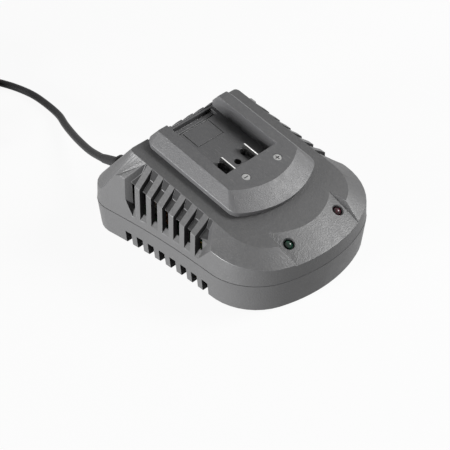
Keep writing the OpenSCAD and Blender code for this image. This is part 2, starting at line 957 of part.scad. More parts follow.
module terminal_wire(side) {
    translate([side * blade_x, tail_y(), pcb_top])
        cylinder(h = blade_tail()[2] - pcb_top - 0.3, d = 2.6, $fn = 24);
}

module wire_positive() {
    color("firebrick")
        terminal_wire(1);
}

module wire_negative() {
    color([0.08, 0.08, 0.08])
        terminal_wire(-1);
}

// ---- fasteners and feet ----

module pad(k) {
    color([0.08, 0.08, 0.08])
        translate([pad_xy[k][0], pad_xy[k][1], 0])
            rotate_extrude()
                polygon([
                    [0, 0],
                    [pad_d / 2 - 0.5, 0],
                    [pad_d / 2, 0.5],
                    [pad_d / 2, foot_h + 1.2],
                    [0, foot_h + 1.2]
                ]);
}

module pad_front_left() { pad(0); }
module pad_front_right() { pad(1); }
module pad_rear_left() { pad(2); }
module pad_rear_right() { pad(3); }

module screw(k) {
    color([0.70, 0.70, 0.72])
        translate([boss_xy[k][0], boss_xy[k][1], floor_top + 1.2])
            difference() {
                union() {
                    translate([0, 0, -2])
                        cylinder(h = 2, d = head_d);
                    translate([0, 0, -eps])
                        cylinder(h = part_z + 10 - floor_top - 1.2, d = screw_d, $fn = 24);
                }
                for (a = [0, 90])
                    rotate([0, 0, a])
                        translate([-1.7, -0.4, -3])
                            cube([3.4, 0.8, 2]);
            }
}

module screw_front_left() { screw(0); }
module screw_front_right() { screw(1); }
module screw_rear_left() { screw(2); }
module screw_rear_right() { screw(3); }

// ---- mains lead ----

wall_y = foot_rear + flare - 0.6;

module relief_slab(w, h, l) {
    translate([cord_x, 0, cord_z])
        rotate([-90, 0, 0])
            linear_extrude(height = l) {
                square([w - h, h], center = true);
                for (s = [-1, 1])
                    translate([s * (w - h) / 2, 0])
                        circle(d = h, $fn = 32);
            }
}

module relief_cut() {
    translate([0, foot_rear - 12, 0])
        relief_slab(relief_w - 2 + 2 * fit, relief_h - 2 + 2 * fit, 30);
}

// the tapered boot falls and turns a little towards the middle
relief_end = wall_y + 1 + relief_l;
boot_fall = 17.4;
boot_turn = 4.5;
boot_way = [sin(boot_turn) * cos(boot_fall), cos(boot_turn) * cos(boot_fall), -sin(boot_fall)];
boot_end = [cord_x, relief_end, cord_z] + boot_l * boot_way;

module strain_relief() {
    color([0.07, 0.07, 0.08]) {
        difference() {
            union() {
                // neck in the wall and slab outside it
                translate([0, wall_y - 5, 0])
                    relief_slab(relief_w - 2, relief_h - 2, 6);
                translate([0, wall_y + 1, 0])
                    relief_slab(relief_w, relief_h, relief_l);
            }
            // groove round the slab
            translate([cord_x - relief_w, wall_y + 0.6 + relief_l / 2, cord_z - relief_h])
                difference() {
                    cube([2 * relief_w, 0.8, 2 * relief_h]);
                    translate([relief_w, 0.4, relief_h])
                        rotate([90, 0, 0])
                            cube([relief_w - 1.8, relief_h - 1.8, 2], center = true);
                }
        }
        translate([cord_x, relief_end, cord_z] - 2 * boot_way)
            rotate([-90 - boot_fall, 0, -boot_turn])
                cylinder(h = boot_l + 2, d1 = cord_d + 2, d2 = cord_d + 0.8, $fn = 32);
    }
}

module mains_wires() {
    color([0.35, 0.24, 0.14])
        for (s = [-1, 1]) {
            translate([cord_x + s * 1.6, conn_at[1] - 0.2, cord_z])
                rotate([-90, 0, 0])
                    cylinder(h = wall_y - 5.1 - conn_at[1], d = 2.2, $fn = 24);
            translate([cord_x + s * 1.6, conn_at[1], pcb_top + 9.2])
                cylinder(h = cord_z - pcb_top - 9.2, d = 2.2, $fn = 24);
        }
}

// the route of the lead from the boot down to the table and to the coil
cord_route = [
    boot_end,
    [-26.1, 106.3, 21],
    [-21.6, 122, 16],
    [-15.2, 140.2, 11.5],
    [-8.9, 156.3, 8],
    [-2.8, 171.2, 5.6],
    [3.3, 185.1, 4],
    [7.4, 203, 2.9],
    [8.8, 222, 2.8],
    [6, 241, 2.8],
    [0.5, 258, 2.8],
    [-4, 270, 2.8],
    [-5.8, 281, 2.8]
];
// and from the top of the coil down to the plug
tail_route = [
    [-78.3, 279, 13.7],
    [-78.4, 272, 13.4],
    [-78.7, 264, 11.8],
    [-79, 256, 9],
    [-79, 250, 7.2],
    [-79, 244, 6.9]
];
coil_at = [-42, 280];
plug_at = [-79, 246];

// smooth line through the route's points
function cr(a, b, c, d, t) = 0.5 * (2 * b + (c - a) * t + (2 * a - 5 * b + 4 * c - d) * t * t
    + (3 * b - a - 3 * c + d) * t * t * t);
function route_line(r, k) = let (n = len(r) - 1) concat(
    [for (i = [0:n - 1]) for (j = [0:k - 1])
        cr(r[max(0, i - 1)], r[i], r[i + 1], r[min(n, i + 2)], j / k)],
    [r[n]]
);
function unit(v) = v / norm(v);

module tube(line, d, sides) {
    n = len(line);
    dir = [for (i = [0:n - 1]) unit(line[min(n - 1, i + 1)] - line[max(0, i - 1)])];
    pts = [for (i = [0:n - 1]) let (
        side = unit(cross(dir[i], [0, 0, 1])),
        up = cross(side, dir[i])
    ) for (j = [0:sides - 1]) let (a = 360 * j / sides + 180 / sides)
        line[i] + side * (d / 2 * cos(a)) + up * (d / 2 * sin(a))];
    walls = [for (i = [0:n - 2]) for (j = [0:sides - 1]) let (
        a = i * sides + j,
        b = i * sides + (j + 1) % sides
    ) each [[a, b + sides, b], [a, a + sides, b + sides]]];
    polyhedron(
        points = pts,
        faces = concat([[for (j = [0:sides - 1]) j]], walls, [[for (j = [sides - 1:-1:0]) (n - 1) * sides + j]]),
        convexity = 8
    );
}

module cord_tube() {
    color([0.06, 0.06, 0.06])
        tube(route_line(cord_route, 2), cord_d, 8);
}

module cord_tail() {
    color([0.06, 0.06, 0.06])
        tube(route_line(tail_route, 2), cord_d, 8);
}

module cord_coil() {
    color([0.06, 0.06, 0.06])
        translate([coil_at[0], coil_at[1], 0])
            rotate_extrude()
                translate([coil_od / 2 - 3 * cord_d, 0])
                    square([3 * cord_d, 3 * cord_d]);
}

// moulded flat plug: x across the pins, y towards the lead, z up
module plug_body() {
    color([0.08, 0.08, 0.08])
        translate([plug_at[0], plug_at[1], 0])
            intersection() {
                linear_extrude(height = plug_t)
                    polygon([
                        [-plug_w / 2, -plug_l], [plug_w / 2, -plug_l],
                        [plug_w / 2, -plug_l + 17], [plug_w / 2 - 5, -plug_l + 22],
                        [4.6, -7], [4, 0], [-4, 0], [-4.6, -7],
                        [-plug_w / 2 + 5, -plug_l + 22], [-plug_w / 2, -plug_l + 17]
                    ]);
                translate([-plug_w, 0, 0])
                    rotate([90, 0, 90])
                        linear_extrude(height = 2 * plug_w)
                            polygon([
                                [-plug_l, 1], [-plug_l + 1, 0], [-14, 0], [-7, plug_t / 2 - 4.4], [0, plug_t / 2 - 4],
                                [0, plug_t / 2 + 4], [-7, plug_t / 2 + 4.4], [-14, plug_t], [-plug_l + 1, plug_t],
                                [-plug_l, plug_t - 1]
                            ]);
            }
}

module plug_pin(side) {
    color("silver")
        translate([plug_at[0] + side * pin_gap / 2, plug_at[1] - plug_l, plug_t / 2])
            rotate([90, 0, 0])
                cylinder(h = pin_l, d = pin_d, $fn = 24);
}

module plug_pin_left() { plug_pin(-1); }
module plug_pin_right() { plug_pin(1); }

upper_housing();
lower_housing();
dock();
service_cover();
blade_positive();
blade_negative();
terminal_block();
disc_positive();
disc_negative();
lamp_green();
lamp_red();
lamp_sleeve_green();
lamp_sleeve_red();
circuit_board();
transformer_core();
transformer_coil();
bulk_capacitor();
output_capacitor();
heat_sink();
power_transistor();
line_choke();
rectifier();
fuse();
line_capacitor();
mains_connector();
wire_positive();
wire_negative();
mains_wires();
pad_front_left();
pad_front_right();
pad_rear_left();
pad_rear_right();
screw_front_left();
screw_front_right();
screw_rear_left();
screw_rear_right();
strain_relief();
cord_tube();
cord_coil();
cord_tail();
plug_body();
plug_pin_left();
plug_pin_right();
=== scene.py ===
import json

import bmesh
import bpy
import numpy as np
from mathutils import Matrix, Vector

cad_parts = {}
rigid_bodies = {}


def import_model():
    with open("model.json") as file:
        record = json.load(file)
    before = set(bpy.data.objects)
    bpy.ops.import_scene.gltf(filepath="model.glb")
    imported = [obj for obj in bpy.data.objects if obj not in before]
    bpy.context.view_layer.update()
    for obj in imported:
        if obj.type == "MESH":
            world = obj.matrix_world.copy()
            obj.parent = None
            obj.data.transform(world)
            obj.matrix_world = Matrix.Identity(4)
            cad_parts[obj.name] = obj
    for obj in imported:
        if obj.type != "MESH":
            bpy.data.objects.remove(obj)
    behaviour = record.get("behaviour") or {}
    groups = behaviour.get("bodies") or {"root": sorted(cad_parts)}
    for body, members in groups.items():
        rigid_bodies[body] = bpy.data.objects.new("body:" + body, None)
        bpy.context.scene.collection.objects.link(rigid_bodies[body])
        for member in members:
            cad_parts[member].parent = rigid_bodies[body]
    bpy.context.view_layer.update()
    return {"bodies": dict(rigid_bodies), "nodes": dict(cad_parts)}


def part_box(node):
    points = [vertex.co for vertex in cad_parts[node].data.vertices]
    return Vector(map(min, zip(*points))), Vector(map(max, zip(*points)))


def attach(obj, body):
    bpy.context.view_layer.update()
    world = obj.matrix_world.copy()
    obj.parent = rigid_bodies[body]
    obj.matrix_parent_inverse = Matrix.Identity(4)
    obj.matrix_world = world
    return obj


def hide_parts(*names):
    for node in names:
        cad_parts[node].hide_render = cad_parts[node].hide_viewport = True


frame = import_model()
HOUSE = list(frame["bodies"])[0]

# ---------------------------------------------------------------------------
# Table top and room
# The charger stands on a plain pale table top in a white room. A soft lamp
# stands low on its left, and a weaker one higher up on its right, in front.
# ---------------------------------------------------------------------------


def feed(made, feeds):
    """Gives each named input of a shader node a value, or runs the output of another node into
    it."""
    for socket, source in feeds:
        if isinstance(source, bpy.types.NodeSocket):
            made.id_data.links.new(source, made.inputs[socket])
        else:
            made.inputs[socket].default_value = source


def node(tree, kind, feeds=(), **settings):
    """A new shader node of that kind, with its own properties set and its inputs fed."""
    made = tree.nodes.new("ShaderNode" + kind)
    for key, value in settings.items():
        setattr(made, key, value)
    feed(made, feeds)
    return made


def maths(tree, operation, *values, clamp=False):
    """The outcome of one operation on the values, held between 0 and 1 where clamp is set."""
    return node(tree, "Math", enumerate(values), operation=operation, use_clamp=clamp).outputs[0]


def blank_material(name):
    """A new material, its node tree and its shader."""
    mat = bpy.data.materials.new(name)
    mat.use_nodes = True
    return mat, mat.node_tree, mat.node_tree.nodes["Principled BSDF"]


def seen_rays(tree):
    """1 for a ray that shows the white surroundings: one from the camera, or one that a shiny or
    a clear surface sends on."""
    rays = node(tree, "LightPath").outputs
    total = rays["Is Camera Ray"]
    for name in ("Is Glossy Ray", "Is Transmission Ray"):
        total = maths(tree, "MAXIMUM", total, rays[name])
    return total


def white_table():
    """A flat sheet at z = 0, with a corner at each pair of five equal steps in x and in y, 3 m
    out on every side. To the rays that show the surroundings it gives 93 parts of plain white in
    a hundred, and the rest is the matt grey that takes the shadows."""
    reach, steps, white_share = 3.0, 5, 0.93
    x, y = np.meshgrid(*[np.linspace(-reach, reach, steps)] * 2, indexing="ij")
    points = np.stack([x, y, np.zeros_like(x)], -1).reshape(-1, 3)
    a = (np.arange(steps - 1)[:, None] * steps + np.arange(steps - 1)).reshape(-1)
    mesh = bpy.data.meshes.new("table_top")
    mesh.from_pydata(points, [], np.stack([a, a + steps, a + steps + 1, a + 1], -1).tolist())
    sheet = bpy.data.objects.new("table_top", mesh)
    bpy.context.collection.objects.link(sheet)

    mat, tree, body = blank_material("pale_table")
    feed(body, [("Base Color", (0.50, 0.50, 0.50, 1)), ("Roughness", 0.9),
                ("Specular IOR Level", 0.1)])
    white = node(tree, "Emission", [("Strength", 1.0)])
    share = maths(tree, "MULTIPLY", seen_rays(tree), white_share)
    mix = node(tree, "MixShader", [(0, share), (1, body.outputs[0]), (2, white.outputs[0])])
    feed(tree.nodes["Material Output"], [("Surface", mix.outputs[0])])
    mesh.materials.append(mat)


def white_room():
    """The world: white where it is seen, mirrored or looked through, and a faint fill
    elsewhere."""
    world = bpy.data.worlds.new("room")
    bpy.context.scene.world = world
    world.use_nodes = True
    tree = world.node_tree
    fill = tree.nodes["Background"]
    feed(fill, [("Color", (1, 1, 1, 1)), ("Strength", 0.01)])
    white = node(tree, "Background", [("Color", (1, 1, 1, 1))])
    share = seen_rays(tree)
    mix = node(tree, "MixShader", [(0, share), (1, fill.outputs[0]), (2, white.outputs[0])])
    feed(tree.nodes["World Output"], [("Surface", mix.outputs[0])])


def soft_lamp(name, place, aim, size, watts):
    """A square area lamp that faces the point aim."""
    lamp = bpy.data.lights.new(name, "AREA")
    lamp.size = size
    lamp.energy = watts
    holder = bpy.data.objects.new(name, lamp)
    bpy.context.collection.objects.link(holder)
    holder.location = place
    holder.rotation_euler = (Vector(aim) - Vector(place)).to_track_quat("-Z", "Y").to_euler()


white_table()
white_room()
soft_lamp("side_lamp", place=(-1.58, 0.22, 0.17), aim=(0, 0, 0.03), size=0.6, watts=90)
soft_lamp("front_lamp", place=(0.59, -0.46, 0.61), aim=(0, 0, 0.03), size=0.42, watts=12)

bpy.context.scene.view_settings.view_transform = "Standard"

# ---------------------------------------------------------------------------
# Camera
# A long lens, looking down at the front left corner of the case.
# ---------------------------------------------------------------------------
lens = bpy.data.cameras.new("camera")
lens.lens = 108.65
lens.sensor_width = 36.0
lens.clip_start = 0.05
camera = bpy.data.objects.new("camera", lens)
bpy.context.collection.objects.link(camera)
camera.location = (-0.5131, -0.4780, 0.5637)
looks_along = Vector((0.56499, 0.54056, -0.62337))
camera.rotation_euler = looks_along.to_track_quat("-Z", "Y").to_euler()
bpy.context.scene.camera = camera

# ---------------------------------------------------------------------------
# Upper housing
# The lid of the case: one thin-walled injection moulding in grey ABS, with the
# ribbed side pockets, the sloped lamp panel and the opening for the dock. Its
# faces carry the fine spark-eroded grain of the mould, and the ejected edges
# are slightly rounded.
# ---------------------------------------------------------------------------


def noise(tree, place, scale, detail=2.0, roughness=0.5):
    """The value at a place of a noise with that many patches to a unit of length."""
    feeds = [("Vector", place), ("Scale", scale), ("Detail", detail), ("Roughness", roughness)]
    return node(tree, "TexNoise", feeds).outputs["Fac"]


def ramp(tree, value, low, high, start=0.0, end=1.0):
    """The value, moved from the span between low and high onto the one between start and end, and
    held at its ends."""
    feeds = [("Value", value), ("From Min", low), ("From Max", high), ("To Min", start),
             ("To Max", end)]
    return node(tree, "MapRange", feeds).outputs[0]


def blend(tree, share, first, second):
    """A colour that goes from the first to the second as the share goes from 0 to 1."""
    feeds = [("Factor", share), (6, first), (7, second)]
    return node(tree, "Mix", feeds, data_type="RGBA").outputs[2]


def bumps(tree, strength, distance, height, invert=False):
    """The normal of a surface that the height lifts by up to distance metres."""
    feeds = [("Strength", strength), ("Distance", distance), ("Height", height)]
    return node(tree, "Bump", feeds, invert=invert).outputs["Normal"]


def finish_group(name, takes, gives):
    """An empty node group for a finish: takes are its inputs and gives are its outputs, each a
    name with its kind of socket."""
    tree = bpy.data.node_groups.new(name, "ShaderNodeTree")
    for way, sockets in (("INPUT", takes), ("OUTPUT", gives)):
        for label, kind in sockets.items():
            tree.interface.new_socket(label, in_out=way, socket_type="NodeSocket" + kind)
    return tree, tree.nodes.new("NodeGroupInput").outputs, tree.nodes.new("NodeGroupOutput")


def moulded_grain():
    """The skin of a moulding. Cloud: two soft noises make the colour up to that share lighter or
    darker, and the finer one wavers Roughness. Grain: a fine noise of that many grains a metre
    makes bumps up to Depth metres high."""
    tree, takes, gives = finish_group(
        "moulded_grain",
        takes={"Colour": "Color", "Roughness": "Float", "Grain": "Float", "Depth": "Float",
               "Cloud": "Float"},
        gives={"Colour": "Color", "Roughness": "Float", "Normal": "Vector"})
    place = node(tree, "TexCoord").outputs["Object"]
    wide = noise(tree, place, 22.0, detail=3.0)
    flow = noise(tree, place, 160.0, detail=4.0, roughness=0.6)
    fine = noise(tree, place, takes["Grain"], roughness=0.55)
    shift = maths(tree, "SUBTRACT", maths(tree, "ADD", wide, flow), 1.0)
    share = maths(tree, "MULTIPLY_ADD", shift, takes["Cloud"], 1.0)
    tone = node(tree, "VectorMath", [(0, takes["Colour"]), ("Scale", share)], operation="SCALE")
    waver = ramp(tree, flow, 0.3, 0.7, -0.05, 0.05)
    feed(gives, [("Colour", tone.outputs["Vector"]),
                 ("Roughness", maths(tree, "ADD", takes["Roughness"], waver, clamp=True)),
                 ("Normal", bumps(tree, 1.0, takes["Depth"], fine))])
    return tree


def settled_dust():
    """Dust that has settled: faces that look up, times a broken noise, times Amount, mix the
    colour towards pale lint and make it matt."""
    tree, takes, gives = finish_group(
        "settled_dust",
        takes={"Colour": "Color", "Roughness": "Float", "Amount": "Float"},
        gives={"Colour": "Color", "Roughness": "Float"})
    normal = node(tree, "NewGeometry").outputs["Normal"]
    upward = ramp(tree, node(tree, "SeparateXYZ", [("Vector", normal)]).outputs["Z"], 0.35, 0.95)
    place = node(tree, "TexCoord").outputs["Object"]
    lint = ramp(tree, noise(tree, place, 420.0, detail=5.0, roughness=0.75), 0.46, 0.72)
    mask = maths(tree, "MULTIPLY", maths(tree, "MULTIPLY", upward, lint), takes["Amount"])
    dull = maths(tree, "MULTIPLY_ADD", mask, 0.5, takes["Roughness"], clamp=True)
    feed(gives, [("Colour", blend(tree, mask, takes["Colour"], (0.42, 0.41, 0.39, 1))),
                 ("Roughness", dull)])
    return tree


GRAIN, DUST = moulded_grain(), settled_dust()


def moulded(name, colour, roughness, grain=1000.0, depth=0.00020, cloud=0.05, dust=0.05,
            sheen=0.5):
    """A moulded plastic: the grain of the mould under a little settled dust. The sheen is how
    much its surface mirrors."""
    mat, tree, body = blank_material(name)
    skin = node(tree, "Group", [("Colour", (*colour, 1)), ("Roughness", roughness),
                                ("Grain", grain), ("Depth", depth), ("Cloud", cloud)],
                node_tree=GRAIN).outputs
    lint = node(tree, "Group", [("Colour", skin["Colour"]), ("Roughness", skin["Roughness"]),
                                ("Amount", dust)],
                node_tree=DUST).outputs
    feed(body, [("Base Color", lint["Colour"]), ("Roughness", lint["Roughness"]),
                ("Normal", skin["Normal"]), ("Specular IOR Level", sheen)])
    return mat


def rounded_copy(cad, name, materials, edge=0, crease=27.0, joint=None):
    """A finished copy of a CAD piece: its points merged, its slivers dropped, its flat faces cut
    afresh into even triangles, and the sharp edges and normals that came with it left out. Where
    edge isn't 0, each edge of more than 27 degrees is rounded off by that many metres in two
    steps, which take the last of the materials. It stays sharp where it is under three roundings
    long, meets one under two roundings long, or lies within a millimetre of the height joint.
    Faces that meet at less than crease degrees shade as one, and flat faces keep their own
    normals."""
    same_point, sliver, flat, sharp = 2e-6, 5e-5, np.radians(0.4), np.radians(27.0)
    shape = bmesh.new()
    shape.from_mesh(frame["nodes"][cad].data)
    bmesh.ops.remove_doubles(shape, verts=shape.verts, dist=same_point)
    bmesh.ops.dissolve_degenerate(shape, dist=sliver, edges=shape.edges)
    bmesh.ops.dissolve_limit(shape, angle_limit=flat, verts=shape.verts, edges=shape.edges)
    bmesh.ops.dissolve_degenerate(shape, dist=sliver, edges=shape.edges)
    bmesh.ops.triangulate(shape, faces=shape.faces, ngon_method="BEAUTY")
    bend = np.array([side.calc_face_angle(0.0) for side in shape.edges])
    for side in shape.edges:
        side.smooth = True
    mesh = bpy.data.meshes.new(name)
    shape.to_mesh(mesh)
    shape.free()
    if "custom_normal" in mesh.attributes:
        mesh.attributes.remove(mesh.attributes["custom_normal"])
    for mat in materials:
        mesh.materials.append(mat)
    mesh.polygons.foreach_set("material_index", np.zeros(len(mesh.polygons), np.int32))
    mesh.shade_smooth()
    mesh.set_sharp_from_angle(angle=np.radians(crease))
    piece = bpy.data.objects.new(name, mesh)
    bpy.context.collection.objects.link(piece)
    if edge:
        ends = np.empty(2 * len(mesh.edges), np.int32)
        points = np.empty(3 * len(mesh.vertices), np.float32)
        mesh.edges.foreach_get("vertices", ends)
        mesh.vertices.foreach_get("co", points)
        ends = ends.reshape(-1, 2)
        span = points.reshape(-1, 3)[ends]
        length = np.linalg.norm(span[:, 1] - span[:, 0], axis=1)
        crowded = np.zeros(len(mesh.vertices), bool)
        crowded[ends[length < 2 * edge]] = True
        rounds = (bend > sharp) & (length > 3 * edge) & ~crowded[ends].any(1)
        if joint:
            rounds &= (abs(span[:, :, 2] - joint) > 0.001).any(1)
        weights = mesh.attributes.new("bevel_weight_edge", "FLOAT", "EDGE")
        weights.data.foreach_set("value", rounds.astype(np.float32))
        rim = piece.modifiers.new("rounded_edge", "BEVEL")
        rim.width, rim.segments, rim.limit_method = edge, 2, "WEIGHT"
        rim.use_clamp_overlap = False
        # where a piece has an edge material, its lighter colour is part wear and part painted
        # highlight
        rim.material = len(materials) - 1
    even = piece.modifiers.new("flat_faces", "WEIGHTED_NORMAL")
    even.mode = "FACE_AREA_WITH_ANGLE"
    even.keep_sharp = True
    # keeps the edge of a shadow from following the triangles
    piece.cycles.shadow_terminator_offset = 0.35
    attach(piece, HOUSE)
    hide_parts(cad)
    return piece


# the edge grey is lighter and smoother than the case grey: part wear, part painted highlight along
# the rounded edges
CASE_GREY, CASE_EDGE_WEAR_AND_HIGHLIGHT, EDGE_DEPTH = (0.056, 0.056, 0.057), (0.067, 0.067, 0.069), 0.000012
CASE_JOINT = 0.022  # height of the joint between the two housings
upper = rounded_copy("upper_housing", "moulded_upper_case",
                     [moulded("upper_case_grey", CASE_GREY, 0.46),
                      moulded("upper_case_edge_wear_and_highlight", CASE_EDGE_WEAR_AND_HIGHLIGHT, 0.40, depth=EDGE_DEPTH)],
                     edge=0.0002, crease=13.0, joint=CASE_JOINT)

# painted shade: a dark matt grey for the faces deep in the side pockets and base vents
RECESS_SHADE = moulded("painted_recess_shade", (0.022, 0.022, 0.0225), 0.75, sheen=0.12)


def paint_recess_shade(piece, inside):
    """Paints shade into an opening: the faces of the piece for which inside(normal, centre) holds
    take a dark matt grey, which is painted shade."""
    piece.data.materials.append(RECESS_SHADE)
    for face in piece.data.polygons:
        if inside(face.normal, face.center):
            face.material_index = len(piece.data.materials) - 1


def looks_along_y(normal):
    """Holds for a face whose normal lies within 26 degrees of the y axis."""
    return abs(normal.y) > 0.9


def between_fins(normal, centre):
    """The faces between the fins of a side pocket, which lies between front and back, and outside
    of inner. Its flanks look along y, above the sill. Its floor and back wall look out and up,
    above low_end, and are planes that pass the middle of the case at a distance between near and
    far."""
    front, back, inner = -0.0265, 0.042, 0.047
    sill, low_end, near, far = 0.024, 0.040, 0.062, 0.0707
    if not (front < centre.y < back and abs(centre.x) > inner):
        return False
    slanted = abs(normal.x) > 0.5 and normal.z > 0.25
    behind = slanted and centre.z > low_end and near < normal.dot(centre) < far
    return behind or (looks_along_y(normal) and centre.z > sill)


def rear_corner(point):
    """Holds at the two rear corners of the lid: behind back, outside of inner and above
    low_end."""
    back, inner, low_end = 0.0385, 0.036, 0.030
    return point.y > back and abs(point.x) > inner and point.z > low_end


# painted shade on the floors and flanks between the fins
paint_recess_shade(upper, between_fins)
# each rear corner is drawn in one sweep, so all its faces shade as one
for edge in upper.data.edges:
    if all(rear_corner(upper.data.vertices[k].co) for k in edge.vertices):
        edge.use_edge_sharp = False

# ---------------------------------------------------------------------------
# Lower housing
# The tray of the case, of the same grey ABS. It stands on four pads, has the
# air vents along its sides, and closes against the lid along a fine joint.
# ---------------------------------------------------------------------------
lower = rounded_copy("lower_housing", "moulded_lower_case",
                     [moulded("lower_case_grey", CASE_GREY, 0.48),
                      moulded("lower_case_edge_wear_and_highlight", CASE_EDGE_WEAR_AND_HIGHLIGHT, 0.40, depth=EDGE_DEPTH)],
                     edge=0.0002, crease=13.0, joint=CASE_JOINT)


def between_vents(normal, centre):
    """The flanks of the base vents: they look along y, outside of inner and below top."""
    inner, top = 0.055, 0.016
    return looks_along_y(normal) and abs(centre.x) > inner and centre.z < top


# painted shade on the flanks of the base vents
paint_recess_shade(lower, between_vents)

# ---------------------------------------------------------------------------
# Dock
# The raised block that the battery pack slides on, with its two undercut rails
# and the terminal bay. It is a separate moulding in a tougher, darker nylon,
# pushed up through the lid, and the packs polish its rails.
# ---------------------------------------------------------------------------


def pack_rub():
    """Wear from sliding packs: noise drawn out along the slide makes long fine scratches. Where
    it is high, the colour turns lighter and the roughness falls, both times Amount."""
    tree, takes, gives = finish_group(
        "pack_rub",
        takes={"Colour": "Color", "Roughness": "Float", "Amount": "Float"},
        gives={"Colour": "Color", "Roughness": "Float"})
    place = node(tree, "TexCoord").outputs["Object"]
    drawn = node(tree, "Mapping", [("Vector", place), ("Scale", (2600.0, 26.0, 900.0))]).outputs[0]
    thin = ramp(tree, noise(tree, drawn, 1.0), 0.62, 0.74)
    where = ramp(tree, noise(tree, place, 55.0), 0.42, 0.62)
    mask = maths(tree, "MULTIPLY", maths(tree, "MULTIPLY", thin, where), takes["Amount"])
    shine = maths(tree, "MULTIPLY_ADD", mask, -0.25, takes["Roughness"], clamp=True)
    feed(gives, [("Colour", blend(tree, mask, takes["Colour"], (0.26, 0.26, 0.26, 1))),
                 ("Roughness", shine)])
    return tree


RUB = pack_rub()


def rubbed(mat, amount):
    """Puts the wear from sliding packs between a moulded plastic's finish and its shader."""
    body = mat.node_tree.nodes["Principled BSDF"]
    wear = node(mat.node_tree, "Group", [("Amount", amount)], node_tree=RUB)
    for socket, name in (("Base Color", "Colour"), ("Roughness", "Roughness")):
        feed(wear, [(name, body.inputs[socket].links[0].from_socket)])
        feed(body, [(socket, wear.outputs[name])])
    return mat


# the edge nylon is lighter and more rubbed: part wear, part painted highlight along the rounded
# edges
rounded_copy("dock", "moulded_dock",
             [rubbed(moulded("dock_nylon", (0.060, 0.060, 0.062), 0.46, grain=1500.0), 0.35),
              rubbed(moulded("dock_nylon_edge_wear_and_highlight", (0.078, 0.078, 0.080), 0.38, depth=0.00001), 0.6)],
             edge=0.0002, crease=13.0)

# ---------------------------------------------------------------------------
# Service cover
# A small snap-in plate of the same nylon behind the terminals, flush with the
# dock and outlined by the thin gap round it.
# ---------------------------------------------------------------------------
# the edge nylon is lighter than the plate: part wear, part painted highlight along the rounded
# edges
rounded_copy("service_cover", "snap_in_cover",
             [moulded("cover_nylon", (0.064, 0.064, 0.066), 0.46, grain=1500.0),
              moulded("cover_nylon_edge_wear_and_highlight", (0.076, 0.076, 0.077), 0.40)],
             edge=0.0002)

# ---------------------------------------------------------------------------
# Terminals
# Two upright blades of tin-plated brass, punched from strip, so their flanks
# show fine drawing lines. They pass through slots in a black block that is
# clipped under the dock.
# ---------------------------------------------------------------------------


def drawn_metal():
    """Metal with drawing lines: a fine noise read at the place times Way, which draws it out
    along the axis with the small factor, wavers the roughness and makes a shallow bump. A slow
    noise dims the colour by up to Tarnish."""
    tree, takes, gives = finish_group(
        "drawn_metal",
        takes={"Colour": "Color", "Roughness": "Float", "Way": "Vector", "Tarnish": "Float"},
        gives={"Colour": "Color", "Roughness": "Float", "Normal": "Vector"})
    place = node(tree, "TexCoord").outputs["Object"]
    long = node(tree, "VectorMath", [(0, place), (1, takes["Way"])], operation="MULTIPLY")
    lines = noise(tree, long.outputs["Vector"], 9000.0, detail=3.0)
    dim = ramp(tree, noise(tree, place, 180.0, detail=3.0), 0.45, 0.8)
    fall = maths(tree, "MULTIPLY", dim, takes["Tarnish"])
    waver = ramp(tree, lines, 0.3, 0.7, -0.05, 0.08)
    feed(gives, [("Colour", blend(tree, fall, takes["Colour"], (0.16, 0.13, 0.1, 1))),
                 ("Roughness", maths(tree, "ADD", takes["Roughness"], waver, clamp=True)),
                 ("Normal", bumps(tree, 0.6, 0.000004, lines))])
    return tree


DRAWN = drawn_metal()


def metal(name, colour, roughness, way=(1.0, 0.01, 1.0), tarnish=0.12):
    """A metal with drawing lines along one way."""
    mat, tree, body = blank_material(name)
    skin = node(tree, "Group", [("Colour", (*colour, 1)), ("Roughness", roughness),
                                ("Way", way), ("Tarnish", tarnish)],
                node_tree=DRAWN).outputs
    feed(body, [("Metallic", 1.0), ("Base Color", skin["Colour"]), ("Roughness", skin["Roughness"]),
                ("Normal", skin["Normal"])])
    return mat


TIN = metal("tin_plate", (0.86, 0.86, 0.85), 0.2)
# the edge tin is lighter and smoother: part wear, part painted highlight along the rounded edges
TIN_EDGE_WEAR_AND_HIGHLIGHT = metal("tin_plate_edge_wear_and_highlight", (0.92, 0.92, 0.91), 0.14)
for side in ("positive", "negative"):
    rounded_copy("blade_" + side, "contact_blade_" + side,
                 [TIN, TIN_EDGE_WEAR_AND_HIGHLIGHT], edge=0.00015)

rounded_copy("terminal_block", "clipped_terminal_block",
             [moulded("block_black", (0.022, 0.022, 0.024), 0.45, grain=1400.0, dust=0.02)],
             edge=0.0002)

# ---------------------------------------------------------------------------
# Polarity discs
# Two light grey buttons pressed into round recesses in front of the blades.
# A sunk minus on the left and a sunk plus on the right are filled with black.
# ---------------------------------------------------------------------------


def off_middle(tree, cad):
    """The place of a point along each axis, from the middle of the CAD piece's box."""
    low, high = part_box(cad)
    middle = [(a + b) / 2 for a, b in zip(low, high)]
    place = node(tree, "TexCoord").outputs["Object"]
    off = node(tree, "VectorMath", [(0, place), (1, middle)], operation="SUBTRACT")
    return node(tree, "SeparateXYZ", [("Vector", off.outputs["Vector"])]).outputs


def painted(mat, mask, colour):
    """Covers the colour of a material with another one where the mask is 1."""
    body = mat.node_tree.nodes["Principled BSDF"]
    under = body.inputs["Base Color"].links[0].from_socket
    feed(body, [("Base Color", blend(mat.node_tree, mask, under, (*colour, 1)))])
    return mat


